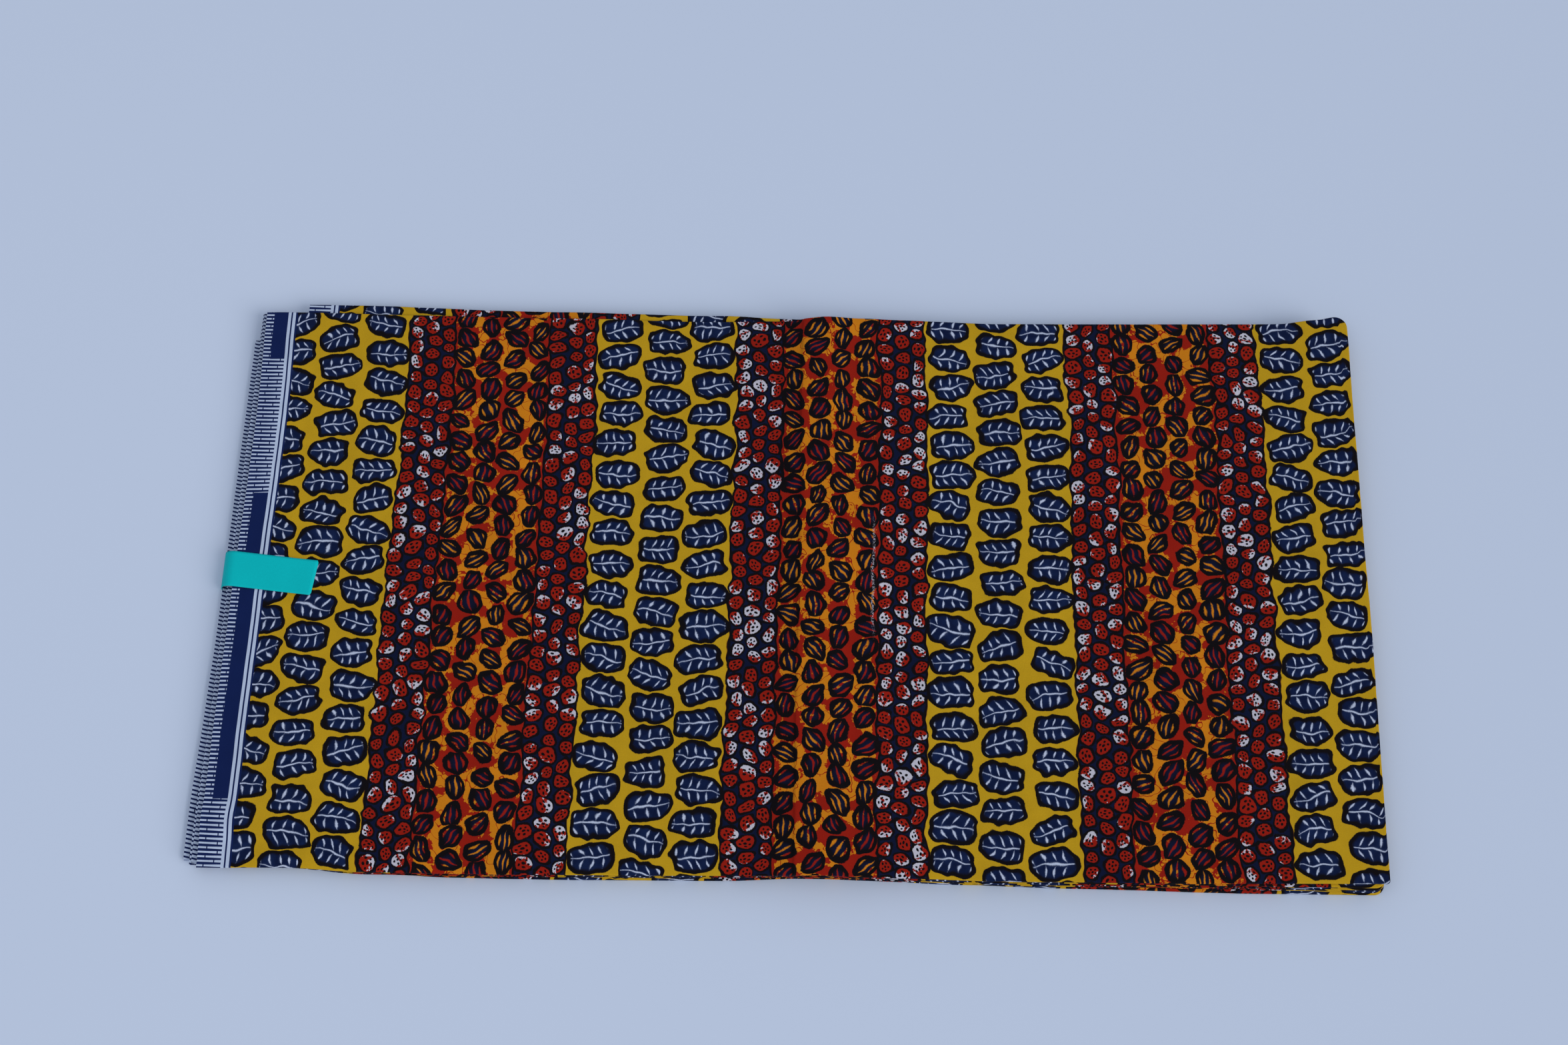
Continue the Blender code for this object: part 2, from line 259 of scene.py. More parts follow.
# Seeds on the orange bands, in mm
SEED_LENGTH = 14.4
SEED_WIDTH = 11.0
SEED_SWING = math.radians(130)
SEED_ROUGHNESS = 0.5
SEED_CORE = (1.95, 4.29)
SEED_CORE_STRENGTH = 0.6
STROKE_PITCH = 3.0
STROKE_HALF_LENGTH = 4.608
STROKE_HALF_WIDTH = 0.62
STROKE_THINNER = 0.06
STROKE_ROUGHNESS = 0.35
STROKE_ROOM = (1.9, 2.5)
STROKE_REDDER = 0.21     # from one stroke to the next
STROKE_RED = (0.5, 0.53)

# The selvedge, in mm from the edge or along it
SELVEDGE_WIDTH = 17.1
BARS_END = 12.0
BAR_PITCH = 2.29
BAR_WIDTH = 1.4
BAR_SOFT = 0.12
BAR_LEAN = 0.16
LEAN_MIDDLE = 0.4
END_SOFT = 0.15
INNER_THINNER = 0.16     # how much thinner bars are at their inner ends
PAINTED_LIGHT_THINNING = 0.2      # and on the leaves below the top one, as painted light: it pales their selvedges, which lie in shade
BELOW_TOP_LEAF = (312.0, 400.0)
TICK_FIRST = 3.5
TICK_STEP = 5.5
TICK_STRAY = 1.8
TICK_WIDTH = 0.6
TICK_SOFT = 0.1
PLAIN_REPEAT = 248.0
PLAIN_SHIFT = 45.0
PLAIN_START = 80.0
PLAIN_COLUMN = 4.2
EDGE_LINE = 14.0
EDGE_LINE_WIDTH = 0.85
BORDER_LINE = 16.1       # start of the dark line beside the print

# A worn line on the top leaf, in mm across and along the cloth
WORN_LINE = 334.0
WORN_WANDER = 3.0
WORN_EDGE = (0.55, 0.5)
WORN_START = (122.0, 140.0)
WORN_END = (178.0, 195.0)
WORN_GRAIN = (0.5, 0.62)

# Uneven depth of colour.  Columns: mm of the patches, detail, strength.
TONES = ((34.0, 2.0, 0.16), (9.0, 1.0, 0.14), (0.7, 1.0, 0.14))
TONE_BASE = 0.78

# Surfaces.  A roughness is its lowest value and span, a bump its strength and distance.
THREAD = 0.33            # from one thread of the weave to the next, in mm
WEAVE_HEIGHT = 0.5
SLUB_HEIGHT = 1.6
CLOTH_BUMP = (0.5, 0.00012)
CLOTH_ROUGHNESS = (0.72, 0.14)
CLOTH_SHEEN = {"Specular IOR Level": 0.05, "Sheen Weight": 0.03, "Sheen Roughness": 0.45}
FIBRE_NOISE = (900.0, 3.0)       # bumps to the metre, detail
PAPER_CLOUD_NOISE = (60.0, 2.0)
PAPER_TONES = (0.3, 0.7)
PAPER_BUMP = (0.25, 0.00005)
PAPER_ROUGHNESS = (0.42, 0.15)
PAPER_SPECULAR = 0.06

# The Mix node's sockets for a share and two colours, and its output for a colour
MIX_INPUTS = (0, 6, 7)
MIX_RESULT = 2
TINY = 1e-9              # keeps a division off zero

# Rise of the top leaf's upper ply at the crease, and its break along the line.
# Columns: mm from the crease, mm of height.
FAR_RISE = ((-62, 0), (-11, 1.2), (5, 5.0), (13, 5.2), (31, 3.4), (56, 2.1), (108, 0))
NEAR_RISE = ((-62, 0), (-19, 1.1), (10, 4.9), (16, 5.0), (31, 3.4), (56, 2.1), (108, 0))
CREASE_STEP = ((-5, 0), (-0.7, -0.3), (0.6, 0.35), (5, 0))
STEP_WANDER = 0.0003
STEP_SEED = 8.1

# Creases of the top leaf, placed one by one.
# Columns, in mm: start x, start y, end x, end y, half width, height.
CREASES = (
    (-279, -122, -240, -151, 6, -0.8),
    (-274, -149, -158, -153, 6, 1.3),
    (-182, 92, -124, -12, 22, 1.7),
    (-151, -77, -137, -151, 18, 1.6),
    (-293, -93, -253, -116, 11, -1.0),
    (-211, 14, -193, -52, 13, 1.2),
    (-171, -3, -143, -65, 14, 1.2),
    (-188, 152, -168, 98, 17, 1.3),
    (-227, 133, -205, 93, 15, 0.9),
    (-189, -56, -119, -81, 8, 1.0),
    (-129, 131, -111, 57, 13, 1.0),
    (-105, 30, -97, -70, 22, 1.0),
    (-71, -90, -13, -138, 17, 0.9),
    (37, 152, 55, 49, 18, 1.2),
    (34, 45, 46, -99, 16, 1.2),
    (56, -90, 118, -152, 15, 1.0),
    (117, 75, 127, -45, 19, 0.9),
    (149, 103, 167, 29, 17, 1.3),
    (183, 26, 199, -100, 16, 1.6),
    (220, 152, 242, 91, 14, 1.6),
    (210, -78, 228, -140, 13, 1.6),
    (150, -152, 216, -111, 14, 1.0),
    (232, 42, 302, -26, 15, 1.2),
    (259, -25, 287, -75, 15, -1.0),
    (247, -152, 269, -73, 12, 1.0),
)
CREASE_BEND = 0.12       # share of its half width that a crease bends to the side
CREASE_TURN = 7          # of that bend, in radians from end to end
CREASE_START = 90        # and in radians for each metre of x at its start

# Slight unevenness of the top leaf: two crossed waves, and a slanting one of a smaller
# share.  Columns: radians to the metre, reach of its bend, that bend's waves and start.
UNEVEN = 0.00012
CROSSED_X = (61, 2.2, 23, 0)
CROSSED_Y = (47, 1.7, 31, 1)
SLANT = (1, 2.0, 53, 0)
SLANT_WAVES = (128, 90)
SLANT_SHARE = 0.6

# Waves that make an edge uneven.
# Columns: metres from wave to wave, turn for each unit of seed, turn, divisor.
EDGE_WAVES = (
    (0.171, 1.7, 0, 1.6),
    (0.083, 2.6, 1, 2.6),
    (0.037, 3.5, 2, 3.6),
    (0.019, 4.4, 3, 4.6),
)
# The edges of a leaf: place in its shifts, way outward, and what sets their waves apart
SIDES = {"left": (0, -1, 0.0), "right": (1, 1, 2.1), "near": (2, -1, 4.3), "far": (3, 1, 6.7)}

# The hidden leaves: shares of their height where one ends and the next starts
LAYER_SHARES = (0.0, 0.15, 0.31, 0.50, 0.65, 0.84, 1.0)
LAYER_GAP = 0.012
SELVEDGE_LEAN = -1.3     # how far the selvedges below lie back along the cloth, in mm
# Columns, in mm: left, right, near and far outward, start along the cloth.
LAYER_EDGES = (
    (0.2, -0.3, 0.3, 0.2, 120.0),
    (-0.5, 0.5, -0.5, 0.0, 432.0),
    (-0.1, -0.2, 0.4, 0.4, 744.0),
    (-0.7, 0.4, -0.2, -0.5, 1056.0),
    (0.3, -0.6, 0.5, 0.2, 1368.0),
    (-0.4, 0.2, -0.4, -0.3, 1680.0),
)

# The wrap's outer leaf, and the leaves in it.
# Columns: low and high share of its thickness, mm outward on the left, start.
WRAP_START = 1992.0
WRAPPED_LEAVES = (
    (0.1, 0.36, -0.2, 2304.0),
    (0.38, 0.62, -0.9, 2616.0),
    (0.64, 0.9, 0.1, 2928.0),
)
WRAPPED_OUTWARD = -1.2   # of their other three edges, in mm

# The paper label
LABEL_WIDTH = 0.0195
LABEL_REACH = 0.0428     # from the selvedge edge onto the top leaf
LABEL_WALL = 0.0003
LABEL_Y = 0.0028         # its middle, where it folds over the edge
LABEL_TURN = math.radians(6.5)
LABEL_CLEAR = 0.0008     # how far its lower end stays above the floor
LABEL_CORNER = 0.0006
LABEL_GAP = 0.00015      # between it and the wrap's edge line
LABEL_CURL = 0.0003      # how far its end lifts, from a share of its reach on
LABEL_CURL_START = 0.7
LABEL_STEPS = 24
LABEL_BEND_STEPS = 14
LABEL_ROWS = 16

# Camera, floor and room light, in metres and degrees
CAMERA_PLACE = (0.01726, -0.43193, 1.06607)
CAMERA_TURN = (23.767, 0.753, 1.097)
CAMERA_LENS = 50.51
CAMERA_SENSOR = 36.0
FLOOR_SIZE = 12.0
ROOM_COLOUR = (0.80, 0.87, 1.0)
ROOM_STRENGTH = 0.49

# Lights.  Columns: name, kind, place, strength, colour.
KEY_LIGHT = ("key", "SUN", (1.9, -1.2, 1.35), 1.6, (1.0, 0.98, 0.96))
KEY_ANGLE = math.radians(36)
FILL_LIGHT = ("fill", "AREA", (-0.25, -0.35, 1.3), 2.4, (0.92, 0.96, 1.0))
FILL_SIZE = 1.2

# Colours, as linear RGB
WHITE = (0.53, 0.51, 0.58)
STROKE_WHITE = (0.51, 0.565, 0.71)
YELLOW = (0.51, 0.30, 0.0106)
ORANGE = (0.60, 0.198, 0.008)
RED = (0.29, 0.0112, 0.0045)
NAVY = (0.0036, 0.009, 0.040)
NAVY_LIGHT = (0.006, 0.015, 0.060)
NAVY_GLOW = (0.05, 0.075, 0.17)
BLACK = (0.0048, 0.0034, 0.0046)
SELVEDGE_WHITE = (0.47, 0.55, 0.71)
SELVEDGE_NAVY = (0.0055, 0.0145, 0.078)
TEAL = (0.002, 0.515, 0.535)
TEAL_DARK = (0.002, 0.485, 0.505)
PAPER_CORE = (0.08, 0.52, 0.54)
FLOOR = (0.60, 0.68, 0.83)
FLOOR_DARK = (0.58, 0.66, 0.81)

# Plain surfaces.  Columns: name, two colours, bumps to the metre, roughness, specular.
PAPER_EDGE_LOOK = ("label_paper_edge", TEAL, PAPER_CORE, 1500.0, 0.8, 0.5)
FLOOR_LOOK = ("pale_floor", FLOOR_DARK, FLOOR, 1.6, 0.9, 0.1)


def ease(share):
    """Turns shares from 0 to 1 into ones that start and end level."""
    share = np.clip(share, 0.0, 1.0)
    return share * share * (3 - 2 * share)


def along(table, place):
    """Reads a table of (place, value) rows in mm smoothly, in metres."""
    places, values = np.array(table, float).T
    spot = np.clip(np.asarray(place, float) / MM, places[0], places[-1])
    row = np.clip(np.searchsorted(places, spot, side="right") - 1, 0, len(places) - 2)
    share = ease((spot - places[row]) / (places[row + 1] - places[row]))
    return (values[row] + (values[row + 1] - values[row]) * share) * MM


def ripple(place, seed, size):
    """A small uneven wave along an edge, the same each run."""
    wave = 0.0
    for length, seed_turn, turn, divisor in EDGE_WAVES:
        angle = 2 * math.pi * np.asarray(place) / length + seed * seed_turn + turn
        wave = wave + np.sin(angle) / divisor
    return wave * size


def swell(x, y):
    """Height that the soft swells add."""
    height = 0.0
    for mid_x, mid_y, half_width, half_length, rise in SWELLS:
        across = ease(1 - abs(x / MM - mid_x) / half_width)
        lengthwise = ease(1 - abs(y / MM - mid_y) / half_length)
        height = height + rise * MM * across * lengthwise
    return height


def underside(x, y):
    """Height of the pack's underside: flat, but for the arch at the crease."""
    return along(ARCH_PROFILE, x - CREASE_X)


def top_side(x, y):
    """Height of the pack's top surface, without its fine relief."""
    share = (x + HALF_WIDTH) / LEAF_WIDTH
    base = LEFT_THICKNESS + (RIGHT_THICKNESS - LEFT_THICKNESS) * share
    return base + along(CREASE_PROFILE, x - CREASE_X) + swell(x, y)


def inner_level(x, y, share):
    """Height within the hidden layers, from their underside to their top."""
    low = underside(x, y) + WRAP_WALL + PIECE_GAP
    high = top_side(x, y) - 2 * (LEAF_WALL + PIECE_GAP)
    return low + (high - low) * share


def coarse_lines():
    """Places of the shared lines of points across the pack."""
    lines = [CREASE_X + offset * MM for offset in CREASE_LINES]
    count = round(2 * LAST_X_LINE / COARSE_X)
    for index in range(count + 1):
        place = -LAST_X_LINE + 2 * LAST_X_LINE * index / count
        if all(abs(place - line) >= LINE_CLEARANCE for line in lines):
            lines.append(place)
    return sorted(lines)


def fine_lines():
    """The shared lines with closer ones between them."""
    lines = coarse_lines()
    result = [lines[0]]
    for low, high in zip(lines, lines[1:]):
        steps = max(1, round((high - low) / FINE_STEP))
        result += [low + (high - low) * (step + 1) / steps for step in range(steps)]
    return result


def quarter(count):
    """Shares of a radius that space points evenly round a quarter circle."""
    return 1 - np.cos(np.linspace(0, math.pi / 2, count + 1))


def round_share(distance, radius):
    """Height share of a rounded edge at a distance from the edge."""
    inward = np.clip(1 - distance / radius, 0.0, 1.0)
    return np.sqrt(1 - inward * inward)


def bulge(distance, radius):
    """Extra cloth that a rounded edge takes up, from the edge to a distance."""
    inward = np.clip(1 - distance / radius, 0.0, 1.0)
    return radius * np.arccos(inward) - radius * (1 - inward)


class Leaf:
    """One leaf of two plies: its edges, levels and place along the cloth."""

    def __init__(self, edges, low, high, start, shifts=(0, 0, 0, 0), seed=0.0, wave=0.0,
                 mouth=1.0, relief=None, lean=0.0, near_corner=NEAR_CORNER):
        self.edges = edges        # tables of the four edges
        self.low = low            # height of its underside at (x, y)
        self.high = high          # height of its top at (x, y)
        self.start = start        # place of its near edge along the cloth, in mm
        self.shifts = shifts      # left, right, near and far outward, in mm
        self.seed = seed
        self.wave = wave          # size of the waves along its edges, in mm
        self.mouth = mouth        # share of its thickness at the open edge
        self.relief = relief      # fine relief of its upper ply
        self.lean = lean          # how far its selvedge runs ahead, in mm
        self.near_corner = near_corner

    def place(self, side, spot):
        """Place of an edge, moved outward and made uneven, before its corners are rounded."""
        number, outward, seed = SIDES[side]
        wave = ripple(spot, self.seed + seed, self.wave * MM)
        return along(self.edges[side], spot) + outward * self.shifts[number] * MM + wave

    def corner(self, x, edge_y, radius):
        """How far a rounded corner pulls an edge in at x."""
        past = np.clip((x - self.place("right", edge_y) + radius) / radius, 0.0, 1.0)
        return radius * (1 - np.sqrt(1 - past * past))

    def near(self, x):
        return self.place("near", x) + self.corner(x, -HALF_DEPTH, self.near_corner)

    def far(self, x):
        return self.place("far", x) - self.corner(x, HALF_DEPTH, FAR_CORNER)


def plan_grid(leaf, x_lines, row_count):
    """Grids of x and y over a leaf, with close lines at its rounded edges."""
    spots = np.array(THICKNESS_SPOTS)
    radius = np.mean(leaf.high(spots, 0 * spots) - leaf.low(spots, 0 * spots)) / 2
    guess = np.concatenate([
        -HALF_DEPTH + quarter(ROUNDING_LINES)[:-1] * radius,
        np.linspace(-HALF_DEPTH + radius, HALF_DEPTH - radius, row_count + 1),
        HALF_DEPTH - quarter(ROUNDING_LINES)[::-1][1:] * radius,
    ])
    left, right = leaf.place("left", guess), leaf.place("right", guess)
    corner_lines = [line * MM for line in CORNER_LINES if line * MM > radius + SMALLEST_STEP]
    inside = [line for line in x_lines
              if left.max() + 3 * BORDER < line < right.min() - corner_lines[0] - BORDER]
    columns = [left, left + BORDER, left + 2 * BORDER]
    columns += [np.full_like(guess, line) for line in inside]
    columns += [right - line for line in corner_lines]
    columns += [right - share * radius for share in quarter(ROUNDING_LINES)[::-1]]
    x = np.stack(columns, 1)
    near = leaf.near(x)
    far = leaf.far(x)
    share = np.clip((guess + HALF_DEPTH - radius) / (2 * (HALF_DEPTH - radius)), 0, 1)
    y = near + radius + (far - near - 2 * radius) * share[:, None]
    for index, part in enumerate(quarter(ROUNDING_LINES)[:-1]):
        y[index] = near[index] + part * radius
        y[-1 - index] = far[-1 - index] - part * radius
    return x, y, radius


def leaf_points(leaf, x_lines, row_count):
    """Points of a leaf's upper and lower side and their places on the cloth."""
    x, y, radius = plan_grid(leaf, x_lines, row_count)
    left, right = x[:, :1], x[:, -1:]
    near, far = leaf.near(x), leaf.far(x)
    low, high = leaf.low(x, y), leaf.high(x, y)
    fold = (round_share(right - x, radius) * round_share(y - near, radius)
            * round_share(far - y, radius))
    mouth = leaf.mouth + (1 - leaf.mouth) * ease((x - left) / MOUTH_LENGTH)
    middle, half = (low + high) / 2, (high - low) / 2 * fold * mouth
    upper_z = middle + half
    if leaf.relief is not None:
        upper_z = upper_z + leaf.relief(x, y) * fold
    places = [place + move for place, move in zip((x, y), PACK_MOVE)]
    upper = np.stack([*places, upper_z], 2)
    lower = np.stack([*places, middle - half], 2)
    run, rise = np.diff(x, axis=1), np.diff(upper_z, axis=1)
    taken_up = np.cumsum(np.hypot(run, rise) - run, axis=1)
    across = x - left + np.pad(taken_up, ((0, 0), (1, 0)))
    lengthwise = y - near + bulge(y - near, radius) - bulge(far - y, radius)
    lengthwise = lengthwise + leaf.lean * MM * (1 - ease((x - left) / (2 * BORDER)))
    cloth = np.stack([across / MM, lengthwise / MM + leaf.start, np.zeros_like(x)], 2)
    return upper, lower, cloth


def quads(grid):
    """The faces of a grid of point numbers, anticlockwise from above."""
    return np.stack([grid[:-1, :-1], grid[:-1, 1:], grid[1:, 1:], grid[1:, :-1]],
                    2).reshape(-1, 4)


def shell_mesh(name, leaves, x_lines, row_count, rooms):
    """Makes one mesh of several leaves, each a pouch that is open on its left."""
    points, places, faces, bake, owners = [], [], [], [], []
    total = 0
    for number, leaf in enumerate(leaves):
        upper, lower, cloth = leaf_points(leaf, x_lines, row_count)
        rows, columns = upper.shape[:2]
        upper_numbers = total + np.arange(rows * columns).reshape(rows, columns)
        lower_numbers = upper_numbers.copy()
        free = (rows - 2) * (columns - 1)
        first_free = total + rows * columns
        lower_numbers[1:-1, :-1] = (first_free + np.arange(free)).reshape(rows - 2, -1)
        total = first_free + free
        points += [upper.reshape(-1, 3), lower[1:-1, :-1].reshape(-1, 3)]
        places += [cloth.reshape(-1, 3), cloth[1:-1, :-1].reshape(-1, 3)]
        owners += [np.full(rows * columns + free, number)]
        share_x, share_y = np.meshgrid(np.linspace(0, 1, columns), np.linspace(0, 1, rows))
        for side, numbers in enumerate((upper_numbers, lower_numbers)):
            left, low, right, high = rooms[2 * number + side]
            corner_map = np.stack([left + (right - left) * share_x,
                                   low + (high - low) * share_y], 2).reshape(-1, 2)
            grid_faces = quads(np.arange(rows * columns).reshape(rows, columns))
            order = [0, 1, 2, 3] if side == 0 else [3, 2, 1, 0]
            faces.append(numbers.reshape(-1)[grid_faces][:, order])
            bake.append(corner_map[grid_faces][:, order].reshape(-1, 2))
    mesh = bpy.data.meshes.new(name)
    mesh.from_pydata(np.concatenate(points), [], np.concatenate(faces).tolist())
    place = mesh.attributes.new(CLOTH_PLACE, "FLOAT_VECTOR", "POINT")
    place.data.foreach_set("vector", np.concatenate(places).astype(np.float32).ravel())
    bake_map = mesh.uv_layers.new(name=BAKE_MAP)
    bake_map.uv.foreach_set("vector", np.concatenate(bake).astype(np.float32).ravel())
    return mesh, np.concatenate(owners)


def in_scene(name, data):
    """Makes an object of a mesh, light or camera, and puts it in the scene."""
    thing = bpy.data.objects.new(name, data)
    bpy.context.scene.collection.objects.link(thing)
    return thing


def thickened(name, mesh, owners, leaf_count):
    """Gives a mesh of leaves the thickness of a ply, and maps its inner faces."""
    part = in_scene(name, mesh)
    solid = part.modifiers.new("Ply", "SOLIDIFY")
    solid.thickness = PLY
    solid.offset = -1
    graph = bpy.context.evaluated_depsgraph_get()
    thick = bpy.data.meshes.new_from_object(part.evaluated_get(graph), depsgraph=graph)
    part.modifiers.clear()
    outer_corners, outer_points = len(mesh.polygons) * FACE_CORNERS, len(mesh.vertices)
    part.data = thick
    bake_map = thick.uv_layers[BAKE_MAP].uv
    values = np.zeros(len(thick.loops) * 2, np.float32)
    bake_map.foreach_get("vector", values)
    values = values.reshape(-1, 2)
    corners = np.zeros(len(thick.loops), np.int32)
    thick.loops.foreach_get("vertex_index", corners)
    spots = np.zeros(len(thick.vertices) * 3, np.float32)
    thick.vertices.foreach_get("co", spots)
    inner = slice(outer_corners, 2 * outer_corners)
    rim = slice(2 * outer_corners, None)
    values[inner, 1] = INNER_ROOM[0] + values[inner, 1] * (INNER_ROOM[1] - INNER_ROOM[0])
    owner = owners[corners[rim] % outer_points]
    row = owner + np.where(corners[rim] < outer_points, *RIM_ROWS)
    past_near = spots.reshape(-1, 3)[corners[rim], 1] + HALF_DEPTH + RIM_MARGIN
    values[rim, 0] = past_near / (LEAF_DEPTH + 2 * RIM_MARGIN)
    values[rim, 1] = RIM_ROOM[0] + (RIM_ROOM[1] - RIM_ROOM[0]) * row / leaf_count
    bake_map.foreach_set("vector", values.ravel())
    thick.shade_smooth()
    thick.set_sharp_from_angle(angle=SHARP_ANGLE)
    return part


def math_method(operation):
    """A method that adds a Math node, which takes its field first."""
    return lambda field, *others: field.apply(operation, *others)


class Field:
    """A number, place or colour that shader nodes work out at each point."""

    def __init__(self, socket):
        self.socket = socket
        self.tree = socket.id_data

    def apply(self, operation, *others):
        """Adds a Math node that takes this number first."""
        return add_node(self.tree, "Math", dict(enumerate((self, *others))),
                        operation=operation)

    __add__ = __radd__ = math_method("ADD")
    __sub__ = math_method("SUBTRACT")
    __mul__ = __rmul__ = math_method("MULTIPLY")
    __truediv__ = math_method("DIVIDE")
    __abs__ = math_method("ABSOLUTE")
    rounded = math_method("ROUND")
    least = math_method("MINIMUM")
    most = math_method("MAXIMUM")

    def __rsub__(self, other):
        return self.apply("MULTIPLY_ADD", -1.0, other)

    def within(self, low, high):
        """Keeps the number between two limits."""
        return self.most(low).least(high)

    def spread(self, width):
        """Turns a number from 0 to 1 into one that is spread evenly about 0."""
        return (self - 0.5) * width

    def ramp(self, low, high):
        """Goes smoothly from 0 at low to 1 at high."""
        return add_node(self.tree, "MapRange", {"Value": self, "From Min": low, "From Max": high},
                        interpolation_type="SMOOTHSTEP")

    def above(self, limit, soft):
        """1 where the number is above a limit, 0 below, soft in between."""
        return self.ramp(limit - soft, limit + soft)

    def below(self, limit, soft):
        """1 where the number is below a limit, 0 above, soft in between."""
        return 1.0 - self.above(limit, soft)

    def split(self):
        """The three numbers of a place or colour."""
        node = self.tree.nodes.new("ShaderNodeSeparateXYZ")
        fill(node, {0: self})
        return [Field(output) for output in node.outputs]


def fill(node, inputs):
    """Links fields to a node's inputs, and sets plain values on them."""
    for name, value in inputs.items():
        if isinstance(value, Field):
            node.id_data.links.new(value.socket, node.inputs[name])
        else:
            node.inputs[name].default_value = value


def add_node(tree, kind, inputs, output=0, **settings):
    """Adds a shader node with its settings and inputs, and returns one of its outputs."""
    node = tree.nodes.new("ShaderNode" + kind)
    for name, value in settings.items():
        setattr(node, name, value)
    fill(node, inputs)
    return Field(node.outputs[output])


def vector(tree, x, y, z=0.0):
    """Joins three numbers into a place."""
    return add_node(tree, "CombineXYZ", {0: x, 1: y, 2: z})


def noise(place, size, detail, rough=0.5, output="Fac"):
    """Smooth noise with bumps of about a size, in the units of the place."""
    inputs = {"Vector": place, "Scale": 1.0 / size, "Detail": detail, "Roughness": rough}
    return add_node(place.tree, "TexNoise", inputs, output, noise_dimensions="2D")


def object_noise(tree, scale, detail=2.0):
    """Smooth noise in the object's own space, with so many bumps to the metre."""
    place = add_node(tree, "TexCoord", {}, "Object")
    return add_node(tree, "TexNoise", {"Vector": place, "Scale": scale, "Detail": detail}, "Fac")


def random_three(column, row, seed):
    """Three random numbers from 0 to 1 for each cell of a repeat."""
    cell = vector(column.tree, column, row, seed)
    return add_node(column.tree, "TexWhiteNoise", {"Vector": cell}, "Color",
                    noise_dimensions="3D").split()


def blend(first, second, share):
    """Mixes two colours, given as fields or as linear RGB values."""
    colours = [(*value, 1.0) if isinstance(value, tuple) else value
               for value in (first, second)]
    return add_node(share.tree, "Mix", dict(zip(MIX_INPUTS, (share, *colours))), MIX_RESULT,
                    data_type="RGBA")


class Cell:
    """One cell of a half-drop repeat: local place in mm and random numbers."""

    def __init__(self, across, lengthwise, repeat, seed):
        pitch, row_pitch, stray, half_count, shift = repeat
        column = ((across / pitch - shift).rounded() + shift).within(-half_count, half_count)
        drop = abs(column - shift).apply("MODULO", 2.0) * (row_pitch / 2)
        row = ((lengthwise + drop) / row_pitch).rounded()
        self.random = random_three(column, row, seed)
        self.more = random_three(row, column, seed + MORE_SEED)
        self.x = across - column * pitch - self.more[0].spread(stray)
        self.y = lengthwise + drop - row * row_pitch - self.more[1].spread(stray)

    def turned(self, angle):
        """The local place, turned by an angle."""
        cosine, sine = angle.apply("COSINE"), angle.apply("SINE")
        return self.x * cosine + self.y * sine, self.y * cosine - self.x * sine


def length_of(x, y):
    """Length of the vector (x, y)."""
    return (x * x + y * y).apply("SQRT")


def leaf_motif(cell, rough_edge):
    """A broad leaf with a midrib and side veins: its body, core, veins and their glow."""
    flip = cell.random[0].apply("GREATER_THAN", 0.5) * math.pi
    tip, side = cell.turned(cell.random[1].spread(LEAF_SWING) + flip)
    radius = length_of(tip, side)
    forward = tip / radius.most(TINY)
    point = forward.most(0.0).apply("POWER", LEAF_POINT_POWER)
    notch = (0.0 - forward).most(0.0).apply("POWER", LEAF_NOTCH_POWER)
    share = ((abs(tip) / LEAF_HALF_LENGTH).apply("POWER", LEAF_SQUARENESS)
             + (abs(side) / LEAF_HALF_WIDTH).apply("POWER", LEAF_SQUARENESS))
    bearing = side.apply("ARCTAN2", tip)
    lobes = (bearing * LEAF_LOBES + cell.random[2] * LEAF_LOBE_START).apply("COSINE")
    rim = radius / share.most(TINY).apply("POWER", 1 / LEAF_SQUARENESS)
    rim = rim + point * LEAF_POINT - notch * LEAF_NOTCH + lobes * LEAF_LOBE_DEPTH
    depth = rim + cell.more[2].spread(LEAF_SIZES) - radius + rough_edge * LEAF_ROUGHNESS

    away = abs(side)
    sweep = tip - away * VEIN_SLOPE + cell.more[0].spread(VEIN_STRAY)
    vein_row = (sweep / VEIN_PITCH).rounded()
    off_vein = abs(sweep - vein_row * VEIN_PITCH) * VEIN_COSINE
    vein_share = ((away - VEIN_START) / (VEIN_END - VEIN_START)).within(0.0, 1.0)
    vein_width = ((vein_share * math.pi).apply("SINE") * VEIN_HALF_WIDTH
                  + rough_edge * VEIN_ROUGHNESS - VEIN_THINNER)
    rib_width = RIB_HALF_WIDTH - abs(tip - RIB_MIDDLE) * RIB_TAPER
    off_rib = away - rib_width - rough_edge * RIB_ROUGHNESS
    veins = off_rib.least(off_vein - vein_width)
    vein_room = depth.ramp(*VEIN_ROOM)
    white = veins.below(0.0, STROKE_SOFT) * vein_room
    glow = veins.below(*GLOW) * vein_room * GLOW_STRENGTH
    return depth.above(0.0, EDGE_SOFT), depth.ramp(*LEAF_CORE), white, glow


